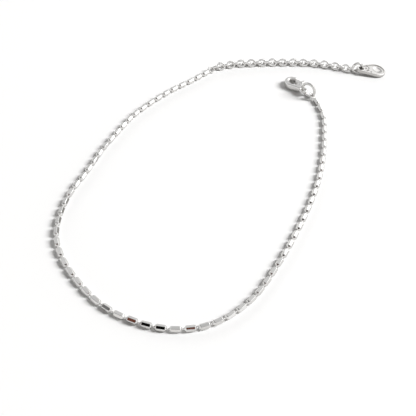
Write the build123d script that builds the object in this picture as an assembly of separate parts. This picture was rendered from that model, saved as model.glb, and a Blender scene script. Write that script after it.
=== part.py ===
from build123d import *
from math import acos, cos, radians, sin, tan
import os

# A chain anklet laid open on a flat surface, in millimetres. Z = 0 is the surface, +Z is up,
# and the origin is the middle of the whole anklet's footprint.

# Main chain of small bar beads
bead_diameter = 1.4
bend_share = 0.45             # how much of the shorter run each bend's arc may use up
end_loop_radius = 0.85        # centreline radius of the soldered loop at each end
end_loop_wire = 0.45
end_loop_overlap = 0.14       # how far a loop's wire sinks into the end of the last bead
first_loop_heading = 52.0
first_loop_roll = 33.0
last_loop_heading = 142.0
last_loop_rise = 34.0
last_loop_roll = 10.0

# Extension chain of small oval links, lying half rolled
extension_diameter = 1.8

# Jump rings: centreline radius, wire diameter and the cut where the wire's ends meet
clasp_ring_radius = 2.0
clasp_ring_wire = 0.75
tag_ring_radius = 1.5
tag_ring_wire = 0.75
ring_cut_angle = 2.0
ring_cut_turn = 60.0

# Lobster clasp, in its own frame: X from the eye to the hook's head, lever on the -Y side
clasp_thickness = 1.8
body_rounding = 0.42
lever_rounding = 0.32
eye_radius = 0.95
eye_wire = 0.7
head_centre = (4.6, 0.0)
head_radius = 2.3
window_radius = 1.1
window_back = (3.55, 0.25)
window_back_radius = 0.82
neck_centre = (1.45, 0.12)
neck_radius = 1.05
pivot = (1.89, -0.45)
boss_radius = 1.03
slot_thickness = 1.0
lever_thickness = 1.5
lever_root_thickness = 0.8
lever_root_radius = 0.8
lever_sweep_reach = 0.82      # how far past the cheeks the lever's front sweeps
slot_reach = 0.5              # how far past the cheeks the slot for its root is cut
web_reach = 0.33              # how far past the cheeks its root joins its front
rivet_radius = 0.35
rivet_seat_clearance = 0.01
rivet_running_clearance = 0.04
rivet_proud = 0.05
rivet_chamfer = 0.08
lever_gap = 0.1               # between the lever's front and the parts of the body round it
lever_back_angle = -115.0     # the sector about the pivot that the lever's front lies in
lever_front_angle = 9.0
lever_opening_angle = 22.0    # how far the lever swings into the hook
lever_root_back = -68.0       # the sector that joins the lever's root to its front
lever_root_front = -20.0

# The lever's outline in front of the cheeks: tongue to the hook's tip, then the thumb tab
tongue_inside = (4.9, -1.05)
tongue_outside = (3.9, -2.08)
tab_root = (3.08, -2.0)
tab_front = (2.83, -3.2)
tab_back = (1.93, -3.08)
cheek_outside = (2.13, -0.82)
cheek_inside = (3.28, -0.66)
lever_corners = {tongue_inside: 0.42, tongue_outside: 0.38, tab_root: 0.35, tab_front: 0.42, tab_back: 0.42}

# The part of the hook's outline that is left out for the lever, and the corners rounded after
lever_bay = [(5.39, -0.7), (3.53, -2.6), (0.74, -3.69), (0.74, -1.31), (2.95, -0.25), (4.43, -0.41)]
hook_corners = {(0.9, -0.74): 0.42, (2.7, 0.16): 0.25, (5.25, -0.82): 0.5, (4.02, -2.21): 0.5}

# End tag, in its own frame: the ring's hole at the origin, wide end towards +X
tag_thickness = 0.9
tag_rounding = 0.2
tag_narrow_radius = 1.4
tag_wide_radius = 2.85
tag_wide_x = 5.1
tag_hole_radius = 0.85
tag_rim_width = 0.42
tag_recess_depth = 0.18
dish_x = 5.35
dish_radius = 1.55
dish_depth = 0.32
grain_radius = 0.28
grain_sunk = 0.04             # how far a grain's middle lies below the field
grain_places = [(1.75, 0.35), (2.3, -0.45), (2.75, 0.6), (1.8, -0.85), (2.95, -1.25), (2.5, 1.45)]

# Where the loose pieces lie: headings are turned from +X about +Z, and a slope lowers the
# end that the heading points to
clasp_eye_place = (16.43, 33.74, 1.355)
clasp_heading = 135.0
clasp_slope = 4.0
clasp_ring_centre = (17.79, 32.81, 2.38)
clasp_ring_heading = -34.3
clasp_ring_lean = 0.0
tag_hole_place = (34.48, 47.7, 1.26)
tag_heading = 12.0
tag_slope = 6.0
tag_ring_centre = (33.16, 47.43, 1.88)
tag_ring_heading = 12.5
tag_ring_lean = 4.0

# The main chain's line from the extension's end, round the far left, the near side and the
# right to the clasp's end
main_route = [
    (-11.7, 38.6), (-15.7, 33.6), (-21.5, 27.8), (-26.5, 21.2), (-31.0, 14.2), (-33.7, 6.8),
    (-36.4, -0.2), (-38.2, -8.0), (-40.9, -15.7), (-41.8, -23.3), (-41.3, -30.2), (-38.2, -36.4),
    (-33.2, -42.2), (-27.4, -47.1), (-20.3, -50.0), (-12.8, -51.1), (-5.4, -49.6), (0.6, -45.6),
    (5.6, -39.8), (9.2, -32.6), (12.5, -25.3), (15.5, -17.5), (18.3, -9.3), (20.5, -0.8),
    (21.8, 8.2), (22.3, 16.5), (22.4, 25.7), (19.75, 31.42),
]

# The extension chain's line from the main chain's end loop to the tag's ring
extension_route = [
    (-9.7, 40.8), (-5.6, 43.0), (-0.1, 44.5), (6.2, 46.1), (13.2, 47.6), (19.8, 48.6),
    (25.5, 48.4), (30.8, 47.9),
]


def laid(place, heading, slope=0.0, roll=0.0):
    """The position of a piece that points along a heading, slopes down and is rolled."""
    return Pos(*place) * Rot(Z=heading) * Rot(Y=slope) * Rot(X=roll)


clasp_place = laid(clasp_eye_place, clasp_heading, clasp_slope)
tag_place = laid(tag_hole_place, tag_heading, tag_slope)


def bend_radii(points):
    """The arc at each inner point: a share of its shorter run over the tangent of half its turn."""
    radii = []
    for before, here, after in zip(points, points[1:], points[2:]):
        run_in = here - before
        run_out = after - here
        half_turn = radians(run_in.get_angle(run_out) / 2)
        radii.append(bend_share * min(run_in.length, run_out.length) / tan(half_turn))
    return radii


def chain_tube(name, route, diameter):
    """A chain's envelope: a round tube that lies on the surface along its route."""
    points = [Vector(x, y, diameter / 2) for x, y in route]
    radii = bend_radii(points)
    path = FilletPolyline(*points, radius=radii)
    start = Plane(origin=path @ 0, z_dir=path % 0)
    tube = sweep(start * Circle(diameter / 2), path=path)
    section = Circle(diameter / 2).area
    print(name, "radii", [round(radius, 1) for radius in radii])
    print(name, "length", round(path.length, 2), "volume", round(tube.volume, 2),
          "section x length", round(section * path.length, 2))
    return tube


def end_loop(end, heading, rise, roll):
    """The small ring soldered to a chain's end, sloping up by rise and rolled about its line."""
    reach = end_loop_radius + end_loop_wire / 2 - end_loop_overlap
    ring = Pos(reach, 0, 0) * Torus(end_loop_radius, end_loop_wire / 2)
    return laid(end, heading, -rise, roll) * ring


def bead_chain():
    """The main chain with a loop soldered to each end."""
    tube = chain_tube("bead_chain", main_route, bead_diameter)
    height = bead_diameter / 2
    first = end_loop((*main_route[0], height), first_loop_heading, 0, first_loop_roll)
    last = end_loop((*main_route[-1], height), last_loop_heading, last_loop_rise, last_loop_roll)
    return tube + first + last


def jump_ring(centre, radius, wire, heading, lean):
    """A round-wire ring stood on its edge: its plane holds the heading and leans to the left."""
    bent = Plane.XZ * Pos(radius, 0) * Circle(wire / 2)
    ring = revolve(bent, Axis.Z, revolution_arc=360 - ring_cut_angle)
    return laid(centre, heading, roll=90 - lean) * Rot(Z=ring_cut_turn) * ring


def egg(small_centre, small_radius, large_centre, large_radius):
    """Two circles and their outer tangents, as one outline of two lines and two arcs."""
    small, large = Vector(small_centre), Vector(large_centre)
    along = (large - small).normalized()
    across = along.rotate(Axis.Z, 90)
    lean = acos((small_radius - large_radius) / (large - small).length)

    def touch(centre, radius, side):
        return centre + (along * cos(lean) + across * (side * sin(lean))) * radius

    large_left, large_right = touch(large, large_radius, 1), touch(large, large_radius, -1)
    small_left, small_right = touch(small, small_radius, 1), touch(small, small_radius, -1)
    outline = [
        Line(small_left, large_left),
        ThreePointArc(large_left, large + along * large_radius, large_right),
        Line(large_right, small_right),
        ThreePointArc(small_right, small - along * small_radius, small_left),
    ]
    return make_face(outline)


def rounded(outline, corners):
    """Round the outline's corners that lie nearest to the given points."""
    for point, radius in corners.items():
        corner = outline.vertices().sort_by_distance(Vector(point))[0]
        outline = fillet(corner, radius)
    return outline


def wedge(radius, low_angle, high_angle):
    """A flat sector about the lever's pivot."""
    step = (high_angle - low_angle) / 6
    rim = [Vector(radius, 0).rotate(Axis.Z, low_angle + step * i) for i in range(7)]
    return Pos(*pivot) * make_face(Polyline((0, 0), *rim, close=True))


def lever_front():
    """The lever's outline in front of the cheeks: tongue to the hook's tip, and thumb tab."""
    tongue = make_face(Polyline(tongue_inside, tongue_outside, tab_root, tab_front, tab_back,
                                cheek_outside, cheek_inside, close=True))
    return rounded(tongue - Pos(*pivot) * Circle(boss_radius + lever_gap), lever_corners)


def lever_zone():
    """The whole space that the lever's front takes up, at rest and as it opens."""
    bay = make_face(Polyline(*lever_bay, close=True))
    swept = wedge(boss_radius + lever_sweep_reach, lever_back_angle, lever_front_angle + lever_opening_angle)
    return bay + swept - Pos(*pivot) * Circle(boss_radius)


def hook_outline():
    """The clasp's body seen from above: neck, cheeks, spine and hook round the window."""
    neck_to_head = egg(neck_centre, neck_radius, head_centre, head_radius)
    window = egg(window_back, window_back_radius, head_centre, window_radius)
    hook = neck_to_head - window - lever_zone() + Pos(*pivot) * Circle(boss_radius)
    return rounded(hook, hook_corners)


def clasp_body():
    """Hook, spine and cheeks in one casting, rounded all over, with the eye behind."""
    plate = extrude(hook_outline(), clasp_thickness / 2, both=True)
    faces = plate.faces().sort_by(Axis.Z)
    body = fillet(faces[0].edges() + faces[-1].edges(), body_rounding)
    swept = wedge(boss_radius + slot_reach, lever_back_angle, lever_front_angle + lever_opening_angle)
    root_space = Pos(*pivot) * Circle(lever_root_radius + lever_gap)
    slot = extrude(root_space + swept, slot_thickness / 2, both=True)
    hole = Pos(*pivot) * Cylinder(rivet_radius + rivet_seat_clearance, 2 * clasp_thickness)
    eye = Torus(eye_radius, eye_wire / 2)
    eye_space = Cylinder(eye_radius, clasp_thickness)
    return clasp_place * (body - eye_space + eye - slot - hole)


def clasp_lever():
    """The lever: thick tongue and tab in front, thin root between the cheeks."""
    front = extrude(lever_front(), lever_thickness / 2, both=True)
    faces = front.faces().sort_by(Axis.Z)
    front = fillet(faces[0].edges() + faces[-1].edges(), lever_rounding)
    web = wedge(boss_radius + web_reach, lever_root_back, lever_root_front)
    root = extrude(Pos(*pivot) * Circle(lever_root_radius) + web, lever_root_thickness / 2, both=True)
    hole = Pos(*pivot) * Cylinder(rivet_radius + rivet_running_clearance, 2 * clasp_thickness)
    return clasp_place * (front + root - hole)


def clasp_rivet():
    """The pin through both cheeks, its ends just proud."""
    pin = Cylinder(rivet_radius, clasp_thickness + 2 * rivet_proud)
    rims = pin.edges().filter_by(GeomType.CIRCLE)
    return clasp_place * Pos(*pivot) * chamfer(rims, rivet_chamfer)


def teardrop(inset):
    """The tag's outline, drawn in from its edge by inset."""
    return egg((0, 0), tag_narrow_radius - inset, (tag_wide_x, 0), tag_wide_radius - inset)


def side_poled_sphere(radius):
    """A sphere whose poles face the sides, away from the tag's top."""
    return Rot(X=90) * Sphere(radius)


def end_tag():
    """A teardrop plate: raised rim, sunk field with a few grains, and a polished dish."""
    blank = extrude(teardrop(0), tag_thickness / 2, both=True)
    faces = blank.faces().sort_by(Axis.Z)
    blank = fillet(faces[0].edges() + faces[-1].edges(), tag_rounding)
    field_level = tag_thickness / 2 - tag_recess_depth
    field = Pos(0, 0, field_level) * extrude(teardrop(tag_rim_width), tag_thickness)
    hole_rim = Cylinder(tag_hole_radius + tag_rim_width, tag_thickness)
    plate = blank - (field - hole_rim)
    ball_radius = (dish_radius ** 2 + dish_depth ** 2) / (2 * dish_depth)
    dish_centre = Pos(dish_x, 0, field_level - dish_depth + ball_radius)
    plate -= dish_centre * side_poled_sphere(ball_radius)
    for x, y in grain_places:
        plate += Pos(x, y, field_level - grain_sunk) * side_poled_sphere(grain_radius)
    return tag_place * (plate - Cylinder(tag_hole_radius, 2 * tag_thickness))


def write_parts():
    """Build each piece and write it under its own name."""
    os.makedirs("parts", exist_ok=True)
    pieces = {
        "bead_chain": bead_chain(),
        "extension_chain": chain_tube("extension_chain", extension_route, extension_diameter),
        "clasp_ring": jump_ring(clasp_ring_centre, clasp_ring_radius, clasp_ring_wire,
                                clasp_ring_heading, clasp_ring_lean),
        "tag_ring": jump_ring(tag_ring_centre, tag_ring_radius, tag_ring_wire,
                              tag_ring_heading, tag_ring_lean),
        "clasp_body": clasp_body(),
        "clasp_lever": clasp_lever(),
        "clasp_rivet": clasp_rivet(),
        "end_tag": end_tag(),
    }
    for name, piece in pieces.items():
        box = piece.bounding_box()
        print(name, "solids", len(piece.solids()), "lowest", round(box.min.Z, 3),
              "volume", round(piece.volume, 2))
        export_step(piece, f"parts/{name}.step")
    whole = Compound(children=list(pieces.values())).bounding_box()
    print("whole", whole.min, whole.max)
    turn_axis = (clasp_place * Pos(*pivot)).position
    up = (clasp_place * Pos(0, 0, 1)).position - clasp_place.position
    print("lever pivot", turn_axis, "axis", up)
    print("hook seat", (clasp_place * Pos(*head_centre)).position)


write_parts()
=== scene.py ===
# %% [markdown]
# # A chain anklet in polished silver
# The anklet is a fine chain of small six-sided bar beads. One end has a lobster clasp on a jump
# ring. The other end has an extension chain of oval links with a teardrop tag. It lies open on a
# pale table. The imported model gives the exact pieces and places, and this lesson gives them their
# looks. Everything is in metres, and sizes are written in millimetres and multiplied by `MM`.

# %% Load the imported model
from math import cos, pi, radians, sin

import bmesh
import bpy
import numpy as np
from mathutils import Matrix, Vector


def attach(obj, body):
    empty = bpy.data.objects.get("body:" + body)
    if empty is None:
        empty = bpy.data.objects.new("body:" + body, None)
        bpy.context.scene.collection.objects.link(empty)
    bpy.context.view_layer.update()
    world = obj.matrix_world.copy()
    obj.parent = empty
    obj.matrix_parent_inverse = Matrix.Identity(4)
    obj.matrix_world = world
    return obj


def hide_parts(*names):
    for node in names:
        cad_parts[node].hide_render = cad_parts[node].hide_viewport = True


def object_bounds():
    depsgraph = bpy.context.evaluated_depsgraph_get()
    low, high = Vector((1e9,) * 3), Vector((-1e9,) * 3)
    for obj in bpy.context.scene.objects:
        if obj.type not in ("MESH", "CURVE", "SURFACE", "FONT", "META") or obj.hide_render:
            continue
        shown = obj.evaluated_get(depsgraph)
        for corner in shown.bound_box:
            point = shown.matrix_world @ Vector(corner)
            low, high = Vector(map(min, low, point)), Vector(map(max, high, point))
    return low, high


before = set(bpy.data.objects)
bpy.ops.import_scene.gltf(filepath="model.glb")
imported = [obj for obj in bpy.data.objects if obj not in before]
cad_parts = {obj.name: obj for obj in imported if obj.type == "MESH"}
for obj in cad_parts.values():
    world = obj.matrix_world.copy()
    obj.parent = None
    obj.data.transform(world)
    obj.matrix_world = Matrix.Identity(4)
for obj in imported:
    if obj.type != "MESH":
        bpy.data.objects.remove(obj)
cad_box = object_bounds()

MM = 0.001
scene = bpy.context.scene
for corner in cad_box:
    print("CAD box corner, mm", [round(value / MM, 2) for value in corner])

# %% [markdown]
# ## Camera
# The anklet is seen from the near side, a little over half way up from the table's level. A camera
# looks along its own -Z, so one turn about X tips it down at the table. It was also held a little
# aslant, which is a roll about its own Z, done before the tip.

# %% Camera
camera_place = Vector((-7.3, -121.0, 117.57))
look_down = radians(41.9)
held_aslant = radians(6.71)
camera_data = bpy.data.cameras.new("camera")
camera_data.sensor_width = 36.0
camera_data.lens = 56.0
camera_data.clip_start = 0.005
camera = bpy.data.objects.new("camera", camera_data)
camera_turn = Matrix.Rotation(look_down, 3, "X") @ Matrix.Rotation(held_aslant, 3, "Z")
camera.location = camera_place * MM
camera.rotation_euler = camera_turn.to_euler()
scene.collection.objects.link(camera)
scene.camera = camera
print("camera height, mm", round(camera.location.z / MM, 1))

# %% [markdown]
# ## Table
# A plain pale sheet. Its roughness keeps it from mirroring the chain. Polished metal on a white
# sheet shows mostly the sheet, and the beads' rims would vanish against it. So the sheet is a little
# darker to glossy rays: the Light Path node tells which rays those are.

# %% Helpers for meshes and materials
def add_mesh(name, vertices, faces):
    """Make an object from plain lists of corners and faces."""
    mesh = bpy.data.meshes.new(name)
    mesh.from_pydata([tuple(v) for v in vertices], [], [tuple(f) for f in faces])
    mesh.update()
    piece = bpy.data.objects.new(name, mesh)
    scene.collection.objects.link(piece)
    return piece


def new_material(name):
    """A material with one Principled BSDF, and short names for what is needed from it."""
    material = bpy.data.materials.new(name)
    material.use_nodes = True
    tree = material.node_tree
    return material, tree.nodes, tree.links, tree.nodes["Principled BSDF"]


def flat_sheet(name, centre, half_x, half_y, towards=(0, 0, 1)):
    """A flat rectangle whose face looks towards a direction."""
    turn = Vector(towards).to_track_quat("Z", "Y")
    signs = [(-1, -1), (1, -1), (1, 1), (-1, 1)]
    corners = [(along * half_x, across * half_y, 0) for along, across in signs]
    places = [(Vector(centre) + turn @ Vector(corner)) * MM for corner in corners]
    return add_mesh(name, places, [(0, 1, 2, 3)])


# %% Table sheet
table_half = 2500
table = flat_sheet("table", (0, 0, 0), table_half, table_half)
table_material, nodes, links, shader = new_material("table_white")
shader.inputs["Roughness"].default_value = 0.7
shader.inputs["Specular IOR Level"].default_value = 0.2
ray = nodes.new("ShaderNodeLightPath")
sheet = nodes.new("ShaderNodeMix")
sheet.data_type = "RGBA"
sheet.inputs["A"].default_value = (0.9, 0.9, 0.9, 1.0)  # as it is
sheet.inputs["B"].default_value = (0.65, 0.645, 0.64, 1.0)  # as the metal mirrors it
links.new(ray.outputs["Is Glossy Ray"], sheet.inputs["Factor"])
links.new(sheet.outputs["Result"], shader.inputs["Base Color"])
table.data.materials.append(table_material)
print("table", [round(size, 2) for size in table.dimensions])

# %% [markdown]
# ## Light
# Polished silver has hardly any colour of its own. It shows what stands round it, so the
# surroundings matter more than the lamps. A real studio puts white and dark boards round it, and
# the world here does the same with pale greys, a little lighter low down in front. To matte things
# it is bright only near the horizon, so that every bead stands in a soft halo of its own shade.

# %% World: a pale studio that changes with direction
world = bpy.data.worlds.new("studio")
scene.world = world
world.use_nodes = True
nodes, links = world.node_tree.nodes, world.node_tree.links
nodes.clear()
looking = nodes.new("ShaderNodeTexCoord")
split = nodes.new("ShaderNodeSeparateXYZ")
links.new(looking.outputs["Generated"], split.inputs[0])


def ramp(factor, stops, tint=(1.0, 1.0, 1.0)):
    """A colour ramp from a list of (position, grey) stops, all of one tint."""
    node = nodes.new("ShaderNodeValToRGB")
    node.color_ramp.interpolation = "EASE"
    elements = node.color_ramp.elements
    while len(elements) < len(stops):
        elements.new(0.5)
    for element, (position, grey) in zip(elements, stops):
        element.position = position
        element.color = (*(grey * part for part in tint), 1.0)
    links.new(factor, node.inputs["Fac"])
    return node.outputs["Color"]


def remapped(value, low, high):
    """Spread a value between low and high over 0 to 1."""
    node = nodes.new("ShaderNodeMapRange")
    node.inputs["From Min"].default_value = low
    node.inputs["From Max"].default_value = high
    links.new(value, node.inputs["Value"])
    return node.outputs["Result"]


def mixed(factor, first, second):
    """A colour that goes from first to second as the factor goes from 0 to 1."""
    node = nodes.new("ShaderNodeMix")
    node.data_type = "RGBA"
    links.new(factor, node.inputs["Factor"])
    links.new(first, node.inputs["A"])
    links.new(second, node.inputs["B"])
    return node.outputs["Result"]


# Each stop is a height, from 0 at the horizon to 1 overhead, and the grey there.
height = split.outputs["Z"]
behind = ramp(height, [(0.0, 0.62), (0.3, 0.66), (0.6, 0.55), (0.8, 0.64), (1.0, 0.5)])
before = ramp(height, [(0.0, 0.95), (0.3, 0.75), (0.75, 0.58), (1.0, 0.5)])
front_to_back = 0.35
far_share = remapped(split.outputs["Y"], -front_to_back, front_to_back)
reflected = mixed(far_share, before, behind)
warm_tint = (1.0, 0.98, 0.95)
fill = ramp(height, [(0.0, 1.8), (0.25, 0.62), (0.6, 0.14), (1.0, 0.08)], warm_tint)
backdrop = nodes.new("ShaderNodeRGB")
backdrop.outputs["Color"].default_value = (0.98, 0.98, 0.98, 1.0)
ray = nodes.new("ShaderNodeLightPath")
studio = mixed(ray.outputs["Is Glossy Ray"], fill, reflected)
seen = mixed(ray.outputs["Is Camera Ray"], studio, backdrop.outputs["Color"])
background = nodes.new("ShaderNodeBackground")
output = nodes.new("ShaderNodeOutputWorld")
links.new(seen, background.inputs["Color"])
links.new(background.outputs["Background"], output.inputs["Surface"])
print("world nodes", len(nodes))

# %% [markdown]
# ## Lamps
# A window on the right casts the short shadows, and a weaker light comes off the wall behind on the
# left. Each is a wide area lamp, since a small lamp would cut the shadows too sharp. The metal
# doesn't mirror the lamps: a bright bar in every facet would hide the beads' greys.

# %% Window and wall lamps
light_distance = 4.0


def area_light(name, direction, width, depth, energy):
    """A soft rectangle of light, in metres and watts, which the metal doesn't mirror."""
    data = bpy.data.lights.new(name, "AREA")
    data.shape = "RECTANGLE"
    data.size = width
    data.size_y = depth
    data.energy = energy
    lamp = bpy.data.objects.new(name, data)
    direction = direction.normalized()
    lamp.location = direction * light_distance
    lamp.rotation_euler = direction.to_track_quat("Z", "Y").to_euler()
    lamp.visible_glossy = False
    scene.collection.objects.link(lamp)


area_light("window_light", Vector((0.73, 0.15, 0.66)), width=1.0, depth=2.2, energy=213.0)
area_light("wall_light", Vector((-0.55, 0.75, 0.38)), width=4.0, depth=1.3, energy=36.0)
scene.view_settings.view_transform = "Standard"  # plain whites, with no film look

# %% [markdown]
# ## Cards
# What the metal mirrors is set out with glowing cards that nothing else sees. They stand for the
# window and the sky in it, a doorway, a dark corner of the room, and the photographer, who leans
# over the anklet with a dark camera and brown sleeves. A bead's flat top facet takes up one card at
# a time, so one bead turns black and the next one white.

# %% Cards that only the metal sees
def studio_card(name, centre, half_x, half_y, colour):
    """A glowing card that faces the anklet, seen only in reflections."""
    card = flat_sheet(name, centre, half_x, half_y, -Vector(centre))
    material, _, _, card_shader = new_material(name)
    card_shader.inputs["Base Color"].default_value = (0.0, 0.0, 0.0, 1.0)
    card_shader.inputs["Roughness"].default_value = 1.0
    card_shader.inputs["Specular IOR Level"].default_value = 0.0
    card_shader.inputs["Emission Color"].default_value = (*colour, 1.0)
    card_shader.inputs["Emission Strength"].default_value = 1.0
    card.data.materials.append(material)
    card.visible_camera = False
    card.visible_diffuse = False
    card.visible_shadow = False


away = camera_turn @ Vector((0, 0, 1))
cards = [
    # name, centre as a direction times a distance in mm, half width, half height, colour
    ("camera_black", camera_place - away * 6, 48, 22, (0.004, 0.004, 0.004)),
    ("sleeves_brown", camera_place + away * 4, 80, 34, (0.13, 0.05, 0.035)),
    ("bright_window", Vector((0.707, 0.433, 0.559)) * 900, 730, 400, (1.3, 1.3, 1.3)),
    ("window_sky", Vector((0.668, 0.522, 0.530)) * 880, 120, 130, (4.0, 4.0, 4.0)),
    ("dark_doorway", Vector((0.776, 0.606, 0.174)) * 800, 207, 72, (0.27, 0.265, 0.255)),
    ("dark_corner", Vector((-0.64, -0.24, 0.73)) * 900, 300, 260, (0.16, 0.16, 0.16)),
]
for name, centre, half_x, half_y, colour in cards:
    studio_card(name, centre, half_x, half_y, colour)

# %% [markdown]
# ## The chain's line
# The main chain and the extension each follow a smooth line. A NURBS spline gives one from a few
# given points: it passes near them, with no corners. An Array modifier with a Curve modifier
# would bend the beads, so Blender turns the curve into a fine polyline instead, and the beads and
# links are set along it by distance.

# %% Lines
main_route = [
    (-11.7, 38.6), (-15.7, 33.6), (-21.5, 27.8), (-26.5, 21.2), (-31.0, 14.2), (-33.7, 6.8),
    (-36.4, -0.2), (-38.2, -8.0), (-40.9, -15.7), (-41.8, -23.3), (-41.3, -30.2), (-38.2, -36.4),
    (-33.2, -42.2), (-27.4, -47.1), (-20.3, -50.0), (-12.8, -51.1), (-5.4, -49.6), (0.6, -45.6),
    (5.6, -39.8), (9.2, -32.6), (12.5, -25.3), (15.5, -17.5), (18.3, -9.3), (20.5, -0.8),
    (21.8, 8.2), (22.3, 16.5), (22.4, 25.7), (19.75, 31.42),
]
extension_route = [
    (-10.6, 40.0), (-5.6, 43.0), (-0.1, 44.5), (6.2, 46.1), (13.2, 47.6), (19.8, 48.6),
    (25.5, 48.4), (32.6, 47.5),
]


def smooth_line(points, height):
    """Close-set points along the NURBS spline that the control points give."""
    data = bpy.data.curves.new("line", "CURVE")
    data.dimensions = "3D"
    data.resolution_u = 32
    spline = data.splines.new("NURBS")
    spline.points.add(len(points) - 1)
    for control, (x, y) in zip(spline.points, points):
        control.co = (x * MM, y * MM, height * MM, 1.0)
    spline.order_u = 3
    spline.use_endpoint_u = True
    holder = bpy.data.objects.new("line", data)
    scene.collection.objects.link(holder)
    mesh = bpy.data.meshes.new_from_object(holder)
    line = np.array([vertex.co[:] for vertex in mesh.vertices])
    bpy.data.objects.remove(holder)
    bpy.data.meshes.remove(mesh)
    return line


def run_along(line):
    """How far each point of a line is from its start."""
    steps = np.linalg.norm(np.diff(line, axis=0), axis=1)
    return np.concatenate([[0.0], np.cumsum(steps)])


def place_at(line, distance):
    """The point at a distance along a line, and the direction there."""
    run = run_along(line)

    def point(at):
        return Vector([np.interp(at, run, line[:, axis]) for axis in range(3)])

    half_step = 0.2 * MM
    ahead = point(min(distance + half_step, run[-1]))
    behind_it = point(max(distance - half_step, 0.0))
    return point(distance), (ahead - behind_it).normalized()


chain_height = 0.7  # of the chain's middle line, above the table
main_line = smooth_line(main_route, chain_height)
main_length = run_along(main_line)[-1]
print("main chain, mm", round(main_length / MM, 1))

# %% [markdown]
# ## Bar beads
# Each bead is a short six-sided bar whose ends are cut back in facets towards the neck. One bead is
# made with bmesh, and its edges are bevelled a little, since even a diamond-cut edge catches the
# light as a thin line. Copies are then written straight into one joined mesh, each with its own
# roll, because the beads turn freely on their necks.

# %% One bead
bead_count = 68
bead_radius = 0.74
bead_length = 2.72
bead_end_cut = 0.40
bead_end_radius = 0.33
bead_edge = 0.09
sides = 6


def bead_pattern():
    """Corners and faces of one bead along X, with bevelled edges, in metres."""
    half = bead_length / 2
    rings = [(-half, bead_end_radius), (-half + bead_end_cut, bead_radius),
             (half - bead_end_cut, bead_radius), (half, bead_end_radius)]
    mesh = bmesh.new()
    turns = [2 * pi * k / sides for k in range(sides)]
    loops = [[mesh.verts.new(Vector((x, radius * cos(turn), radius * sin(turn))) * MM)
              for turn in turns] for x, radius in rings]
    for near, far in zip(loops, loops[1:]):
        for k in range(sides):
            mesh.faces.new((near[k], near[(k + 1) % sides], far[(k + 1) % sides], far[k]))
    mesh.faces.new(reversed(loops[0]))
    mesh.faces.new(loops[-1])
    bmesh.ops.recalc_face_normals(mesh, faces=mesh.faces)
    bmesh.ops.bevel(mesh, geom=list(mesh.edges), offset=bead_edge * MM, segments=3,
                    profile=0.5, affect="EDGES")
    mesh.verts.index_update()
    corners = np.array([vertex.co[:] for vertex in mesh.verts])
    faces = [[vertex.index for vertex in face.verts] for face in mesh.faces]
    mesh.free()
    return corners, faces


bead_corners, bead_faces = bead_pattern()
print("bead corners", len(bead_corners), "faces", len(bead_faces))

# %% Turning and placing copies
def frame_along(direction, roll):
    """Rotation that lays local X along a direction and rolls about it, from level."""
    side = Vector((0, 0, 1)).cross(direction).normalized()
    up = direction.cross(side)
    upright = Matrix((direction, side, up)).transposed()
    return upright @ Matrix.Rotation(roll, 3, "X")


def resting(corners, rotation, spot):
    """The spot raised or lowered so that the turned piece just clears the table."""
    lowest = (corners @ np.array(rotation).T)[:, 2].min()
    return Vector((spot.x, spot.y, table_gap * MM - lowest))


def join_copies(name, pattern, placings):
    """One object from many placed copies of a pattern. It keeps each corner's place in the pattern."""
    pattern_corners, pattern_faces = pattern
    corners, faces = [], []
    for copy, (rotation, place) in enumerate(placings):
        corners.append(pattern_corners @ np.array(rotation).T + np.array(place))
        start = copy * len(pattern_corners)
        faces.extend([[index + start for index in face] for face in pattern_faces])
    piece = add_mesh(name, np.concatenate(corners), faces)
    local = piece.data.attributes.new("local", "FLOAT_VECTOR", "POINT")
    local.data.foreach_set("vector", np.tile(pattern_corners, (len(placings), 1)).ravel())
    piece.data.shade_smooth()
    weighted = piece.modifiers.new("flat_faces", "WEIGHTED_NORMAL")
    weighted.keep_sharp = True
    weighted.weight = 100
    return piece


# %% [markdown]
# ## How the beads lie
# A six-sided bar turns freely on its neck, but its neighbours hold it a little, so the twist changes
# slowly along the chain, with a few beads that have flopped over. Rolls drawn at random would look
# restless, so listed marks give the runs and a small seeded scatter roughens them. The twist marks
# give a bead's number from the extension's end and the tilt, in degrees, of its top facet towards the
# outside of the loop. The necks have a little slack too, and its marks say how many millimetres a bead
# has slid. Between two marks both change evenly.

# %% Bead rolls and places
table_gap = 0.01
twist_marks = [
    (0, 19), (13, 19), (14, -2), (15, 14), (19, 14), (20, -8), (21, 13), (23, 14), (24, 15),
    (25, 10), (31, 10), (32, 26), (33, 2), (34, 30), (36, 32), (37, 4), (38, 40), (39, 12),
    (41, -4), (46, -2), (50, 14), (54, 4), (58, 6), (60, 16), (67, 16),
]
slack_marks = [(0, 0.0), (12, 0.0), (18, -0.28), (42, -0.33), (52, 0.0)]
twist_scatter = 1.5
rng = np.random.default_rng(7)
numbers = np.arange(bead_count)
twists = np.interp(numbers, *zip(*twist_marks))
bead_rolls = twists + rng.normal(0.0, twist_scatter, bead_count)
slack = np.interp(numbers, *zip(*slack_marks)) * MM
pitch = main_length / bead_count
bead_places = []
for number in range(bead_count):
    spot, along = place_at(main_line, (number + 0.5) * pitch + slack[number])
    rotation = frame_along(along, radians(bead_rolls[number]))
    bead_places.append((rotation, resting(bead_corners, rotation, spot)))
beads = join_copies("bar_beads", (bead_corners, bead_faces), bead_places)
print("bar beads", len(bead_places), "pitch, mm", round(pitch / MM, 3))

# %% [markdown]
# ## Necks and end loops
# Between two beads shows a short waisted neck, the wire that strings them. It could be a bent curve
# with a bevel. It is turned like a tiny spool instead, which gives the waist with few corners. The
# first and the last bead carry a soldered wire loop. The one at the clasp rises to its jump ring.

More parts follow.
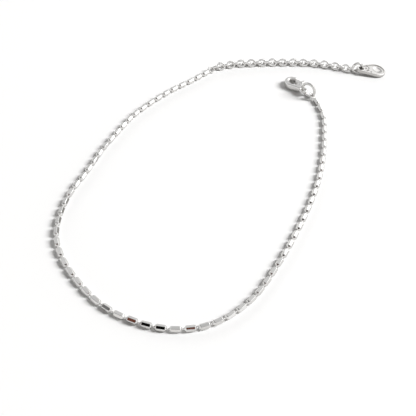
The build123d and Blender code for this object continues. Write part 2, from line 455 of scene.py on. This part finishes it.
# %% Necks
def turned(profile, around):
    """Corners and faces of a turned piece along X, from (x, radius) pairs, with open ends."""
    turns = [2 * pi * k / around for k in range(around)]
    corners = [(x * MM, radius * cos(turn) * MM, radius * sin(turn) * MM)
               for x, radius in profile for turn in turns]
    faces = []
    for row in range(len(profile) - 1):
        for k in range(around):
            near = row * around + k
            beside = row * around + (k + 1) % around
            faces.append((near, beside, beside + around, near + around))
    return np.array(corners), faces


neck_reach = 0.32  # from its middle, so that it ends inside a bead
neck_waist = 0.17
neck_shoulder = 0.25
neck_rows = 12
neck_sides = 16
neck_profile = []
for row in range(neck_rows + 1):
    t = row / neck_rows * 2 - 1
    neck_profile.append((t * neck_reach, neck_waist + (neck_shoulder - neck_waist) * t * t))
neck_pattern = turned(neck_profile, neck_sides)


def bead_end(number, side):
    """The middle of a bead's end, at its far side for 1 and at its near side for -1."""
    rotation, place = bead_places[number]
    return place + rotation @ Vector((side * bead_length / 2 * MM, 0, 0))


neck_places = []
for number in range(bead_count - 1):
    near, far = bead_end(number, 1), bead_end(number + 1, -1)
    neck_places.append((frame_along((far - near).normalized(), 0.0), (near + far) / 2))
necks = join_copies("bead_necks", neck_pattern, neck_places)
print("necks", len(neck_places))

# %% Wire ovals
solder_spread = 0.12


def oval_ring(half_length, half_width, wire, along_steps, around_steps, solder=0.0):
    """Corners and faces of a closed wire oval in the XY plane, with a slight solder swelling."""
    corners = []
    for i in range(along_steps):
        t = 2 * pi * i / along_steps
        middle = Vector((half_length * cos(t), half_width * sin(t), 0))
        tangent = Vector((-half_length * sin(t), half_width * cos(t), 0)).normalized()
        outward = Vector((tangent.y, -tangent.x, 0))
        swelling = 1 + solder * np.exp(-((t - pi / 2) / solder_spread) ** 2)
        for k in range(around_steps):
            angle = 2 * pi * k / around_steps
            offset = outward * cos(angle) + Vector((0, 0, 1)) * sin(angle)
            corners.append((middle + offset * wire / 2 * swelling) * MM)
    faces = []
    for i in range(along_steps):
        near = i * around_steps
        far = (i + 1) % along_steps * around_steps
        for k in range(around_steps):
            beside = (k + 1) % around_steps
            faces.append((near + k, near + beside, far + beside, far + k))
    return np.array([corner[:] for corner in corners]), faces


# %% End loops
loop_radius = 0.85
loop_wire = 0.45
loop_steps = 64
loop_sides = 20
solder_bite = 0.14  # that the rim reaches back from the end of the chain's line


def loop_placing(end, heading, rise, roll):
    """Where an end loop sits, from angles in degrees. Its wire's rim comes to the bead's end."""
    turn = (Matrix.Rotation(radians(heading), 3, "Z") @ Matrix.Rotation(radians(-rise), 3, "Y")
            @ Matrix.Rotation(radians(roll), 3, "X"))
    reach = loop_radius + loop_wire / 2 - solder_bite
    return turn, Vector((*end, chain_height)) * MM + turn @ Vector((reach * MM, 0, 0))


loop_pattern = oval_ring(loop_radius, loop_radius, loop_wire, loop_steps, loop_sides)
loop_places = [
    loop_placing(main_route[0], heading=52, rise=0, roll=33),
    loop_placing(main_route[-1], heading=142, rise=34, roll=10),
]
end_loops = join_copies("end_loops", loop_pattern, loop_places)
print("end loops", len(loop_places))

# %% [markdown]
# ## Extension chain
# Small oval links of round wire, each turned a quarter turn from the next, so that they lie half
# rolled on the table. One link is modelled, with a slight swelling where it is soldered shut, and
# copied along the line. The links lie close: most have a hair of air between their wires, and at a
# few places two wires just touch.

# %% Links
link_length = 2.86
link_width = 2.45
link_wire = 0.6
link_count = 27
link_steps = 56
link_sides = 18
link_solder = 0.05
link_roll = 45
link_scatter = 3
extension_height = 0.9
link_pattern = oval_ring((link_length - link_wire) / 2, (link_width - link_wire) / 2, link_wire,
                         link_steps, link_sides, link_solder)
extension_line = smooth_line(extension_route, extension_height)
extension_length = run_along(extension_line)[-1]
first_link = 0.9 * MM
last_link = extension_length - 1.1 * MM
link_pitch = (last_link - first_link) / (link_count - 1)
link_places = []
for number in range(link_count):
    spot, along = place_at(extension_line, first_link + link_pitch * number)
    roll = radians(link_roll if number % 2 else -link_roll) + radians(rng.normal(0, link_scatter))
    rotation = frame_along(along, roll)
    link_places.append((rotation, resting(link_pattern[0], rotation, spot)))
extension = join_copies("extension_links", link_pattern, link_places)
print("links", link_count, "pitch, mm", round(link_pitch / MM, 3), "of", link_length - 2 * link_wire)

# %% [markdown]
# ## Silver
# Every piece is polished silver, but no two kinds are finished alike. Three effects are shared, so
# each is a node group, and every material gives it its own values: a thin haze from handling, fine
# scratches, and painted shade, a greyer tone where other pieces or the table lie close to the metal.
# One even metal would be quicker, but it mirrors the same everywhere and looks lifeless.

# %% Making node groups
def new_group(name, inputs, outputs):
    """A shader node group with named number, colour or vector sockets."""
    group = bpy.data.node_groups.new(name, "ShaderNodeTree")
    for socket, kind, default in inputs:
        made = group.interface.new_socket(socket, in_out="INPUT", socket_type=kind)
        made.default_value = default
    for socket, kind in outputs:
        group.interface.new_socket(socket, in_out="OUTPUT", socket_type=kind)
    return group, group.nodes.new("NodeGroupInput"), group.nodes.new("NodeGroupOutput")


def print_sockets(group):
    """Print what a group takes and gives."""
    for item in group.interface.items_tree:
        print(group.name, item.in_out.lower(), item.name)


# %% Handling haze
haze, given, result = new_group(
    "handling_haze",
    [("Where", "NodeSocketVector", (0.0, 0.0, 0.0)), ("Scale", "NodeSocketFloat", 900.0),
     ("Clean", "NodeSocketFloat", 0.05), ("Hazy", "NodeSocketFloat", 0.15)],
    [("Roughness", "NodeSocketFloat")])
cloud = haze.nodes.new("ShaderNodeTexNoise")
cloud.inputs["Detail"].default_value = 4.0
spread = haze.nodes.new("ShaderNodeMapRange")
spread.inputs["From Min"].default_value = 0.35
spread.inputs["From Max"].default_value = 0.7
haze.links.new(given.outputs["Where"], cloud.inputs["Vector"])
haze.links.new(given.outputs["Scale"], cloud.inputs["Scale"])
haze.links.new(cloud.outputs["Fac"], spread.inputs["Value"])
haze.links.new(given.outputs["Clean"], spread.inputs["To Min"])
haze.links.new(given.outputs["Hazy"], spread.inputs["To Max"])
haze.links.new(spread.outputs["Result"], result.inputs["Roughness"])
print_sockets(haze)

# %% Fine scratches
scratches, given, result = new_group(
    "fine_scratches",
    [("Where", "NodeSocketVector", (0.0, 0.0, 0.0)), ("Scale", "NodeSocketFloat", 2500.0),
     ("Squeeze", "NodeSocketVector", (1.0, 8.0, 1.0)), ("Depth", "NodeSocketFloat", 0.1)],
    [("Height", "NodeSocketFloat")])
squeeze = scratches.nodes.new("ShaderNodeVectorMath")
squeeze.operation = "MULTIPLY"
lines = scratches.nodes.new("ShaderNodeTexNoise")
lines.inputs["Detail"].default_value = 3.0
deepen = scratches.nodes.new("ShaderNodeMath")
deepen.operation = "MULTIPLY"
scratches.links.new(given.outputs["Where"], squeeze.inputs[0])
scratches.links.new(given.outputs["Squeeze"], squeeze.inputs[1])
scratches.links.new(squeeze.outputs["Vector"], lines.inputs["Vector"])
scratches.links.new(given.outputs["Scale"], lines.inputs["Scale"])
scratches.links.new(lines.outputs["Fac"], deepen.inputs[0])
scratches.links.new(given.outputs["Depth"], deepen.inputs[1])
scratches.links.new(deepen.outputs["Value"], result.inputs["Height"])
print_sockets(scratches)

# %% Painted shade in the crevices and near the table
# Painted shade: the Ambient Occlusion node finds where other pieces or the table lie within reach, and
# there the base colour is mixed from the polished tone towards a darker painted shade.
crevices, given, result = new_group(
    "crevice_shade",
    [("Polished", "NodeSocketColor", (0.9, 0.9, 0.9, 1.0)),
     ("Dulled", "NodeSocketColor", (0.4, 0.38, 0.36, 1.0)),
     ("Reach", "NodeSocketFloat", 0.6 * MM),
     ("Shut", "NodeSocketFloat", 0.2), ("Open", "NodeSocketFloat", 0.9)],
    [("Color", "NodeSocketColor")])
openness = crevices.nodes.new("ShaderNodeAmbientOcclusion")
openness.samples = 8
spread = crevices.nodes.new("ShaderNodeMapRange")
tone = crevices.nodes.new("ShaderNodeMix")
tone.data_type = "RGBA"
crevices.links.new(given.outputs["Reach"], openness.inputs["Distance"])
crevices.links.new(openness.outputs["AO"], spread.inputs["Value"])
crevices.links.new(given.outputs["Shut"], spread.inputs["From Min"])
crevices.links.new(given.outputs["Open"], spread.inputs["From Max"])
crevices.links.new(spread.outputs["Result"], tone.inputs["Factor"])
crevices.links.new(given.outputs["Dulled"], tone.inputs["A"])
crevices.links.new(given.outputs["Polished"], tone.inputs["B"])
crevices.links.new(tone.outputs["Result"], result.inputs["Color"])
print_sockets(crevices)

# %% [markdown]
# ## Five silvers
# The beads are cut with a diamond and keep crisp bright facets, with fine lines along them. The drawn
# wire of the links, loops and necks is softer. The jump rings are a shade darker from handling. The
# clasp is a casting that was tumbled until smooth, and the tag is stamped from sheet. One function
# builds them all, so that they differ only in their numbers.

# %% Silver material builder
scratch_height = 0.01


def placed(nodes, group, **values):
    """A group node with its own values."""
    node = nodes.new("ShaderNodeGroup")
    node.node_tree = group
    for socket, value in values.items():
        node.inputs[socket].default_value = value
    return node


def silver(name, polished, shade_tone, repeated, haze_values, scratch_values, reach=0.6):
    """Polished silver. The copies of a repeated piece share their pattern's coordinates."""
    material, nodes, links, shader = new_material(name)
    shader.inputs["Metallic"].default_value = 1.0
    if repeated:
        where = nodes.new("ShaderNodeAttribute")
        where.attribute_name = "local"
        spot = where.outputs["Vector"]
    else:
        spot = nodes.new("ShaderNodeTexCoord").outputs["Object"]
    handled = placed(nodes, haze, **haze_values)
    scratched = placed(nodes, scratches, **scratch_values)
    # The second colour is the painted shade, mixed into the base colour where other pieces or the table
    # lie close.
    shaded = placed(nodes, crevices, Polished=(*polished, 1.0), Dulled=(*shade_tone, 1.0), Reach=reach * MM)
    bump = nodes.new("ShaderNodeBump")
    bump.inputs["Distance"].default_value = scratch_height * MM
    links.new(spot, handled.inputs["Where"])
    links.new(spot, scratched.inputs["Where"])
    links.new(shaded.outputs["Color"], shader.inputs["Base Color"])
    links.new(handled.outputs["Roughness"], shader.inputs["Roughness"])
    links.new(scratched.outputs["Height"], bump.inputs["Height"])
    links.new(bump.outputs["Normal"], shader.inputs["Normal"])
    return material


# %% Silver materials
# In each silver the first colour is the metal's own and the second is its darker painted shade.
bead_silver = silver("bead_silver", (0.91, 0.905, 0.89), (0.42, 0.405, 0.385), True,
                     dict(Scale=1100.0, Clean=0.03, Hazy=0.09),
                     dict(Scale=900.0, Squeeze=(0.3, 6.0, 6.0), Depth=0.08), 0.4)
wire_silver = silver("wire_silver", (0.96, 0.955, 0.945), (0.82, 0.805, 0.785), True,
                     dict(Scale=800.0, Clean=0.14, Hazy=0.26),
                     dict(Scale=2500.0, Squeeze=(1.0, 1.0, 3.0), Depth=0.15))
ring_silver = silver("ring_silver", (0.80, 0.795, 0.78), (0.42, 0.41, 0.40), False,
                     dict(Scale=700.0, Clean=0.07, Hazy=0.15),
                     dict(Scale=2500.0, Squeeze=(1.0, 3.0, 1.0), Depth=0.15))
clasp_silver = silver("clasp_silver", (0.95, 0.945, 0.93), (0.70, 0.69, 0.675), False,
                      dict(Scale=500.0, Clean=0.10, Hazy=0.22),
                      dict(Scale=1800.0, Squeeze=(1.0, 3.0, 1.0), Depth=0.2))
tag_silver = silver("tag_silver", (0.70, 0.69, 0.675), (0.34, 0.315, 0.295), False,
                    dict(Scale=500.0, Clean=0.10, Hazy=0.20),
                    dict(Scale=2200.0, Squeeze=(1.0, 6.0, 1.0), Depth=0.3))
print("silvers", [material.name for material in bpy.data.materials if "silver" in material.name])

# %% [markdown]
# ## Satin field
# The tag's raised rim, its grains and its dish are bright, and the flat field between them is
# satin. A second material on the field's faces would need those faces picked out. Instead the
# shader measures how high each point lies above the tag's middle plane, and swaps in a rougher
# finish at the field's level.

# %% Satin field of the tag
tag_middle = Vector((34.48, 47.7, 1.26)) * MM
tag_facing = Vector((0.1022, 0.0217, 0.9945))
field_level = 0.285 * MM
field_blur = 0.03 * MM
satin_roughness = 0.36


def satin_field(material, middle, facing):
    """Make a material rough where it lies at the field's height above a plane."""
    nodes, links = material.node_tree.nodes, material.node_tree.links
    shader = nodes["Principled BSDF"]
    spot = nodes["Texture Coordinate"].outputs["Object"]
    polish = shader.inputs["Roughness"].links[0].from_socket
    offset = nodes.new("ShaderNodeVectorMath")
    offset.operation = "SUBTRACT"
    offset.inputs[1].default_value = middle
    lift = nodes.new("ShaderNodeVectorMath")
    lift.operation = "DOT_PRODUCT"
    lift.inputs[1].default_value = facing
    at_level = nodes.new("ShaderNodeMath")
    at_level.operation = "COMPARE"
    at_level.inputs[1].default_value = field_level
    at_level.inputs[2].default_value = field_blur
    satin = nodes.new("ShaderNodeMix")
    satin.inputs["B"].default_value = satin_roughness
    links.new(spot, offset.inputs[0])
    links.new(offset.outputs["Vector"], lift.inputs[0])
    links.new(lift.outputs["Value"], at_level.inputs[0])
    links.new(at_level.outputs["Value"], satin.inputs["Factor"])
    links.new(polish, satin.inputs["A"])
    links.new(satin.outputs["Result"], shader.inputs["Roughness"])


satin_field(tag_silver, tag_middle, tag_facing)
print("satin field, mm above the tag's middle", round(field_level / MM, 3))

# %% [markdown]
# ## Which piece wears what
# The beads, necks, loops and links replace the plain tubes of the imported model. Rings, clasp and tag
# are shown as they were packed, and only get their silver.

# %% Finish the pieces
def finish_piece(piece, material):
    """Give a piece its one material."""
    piece.data.materials.clear()
    piece.data.materials.append(material)


added = [
    # piece, the tube that it replaces, its silver
    (beads, "bead_chain", bead_silver),
    (necks, "bead_chain", wire_silver),
    (end_loops, "bead_chain", wire_silver),
    (extension, "extension_chain", wire_silver),
]
for piece, slot, material in added:
    finish_piece(piece, material)
    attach(piece, "anklet")
    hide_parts(slot)
shown = {
    "clasp_ring": ring_silver, "tag_ring": ring_silver, "clasp_body": clasp_silver,
    "clasp_lever": clasp_silver, "clasp_rivet": clasp_silver, "end_tag": tag_silver,
}
for node, material in shown.items():
    finish_piece(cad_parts[node], material)
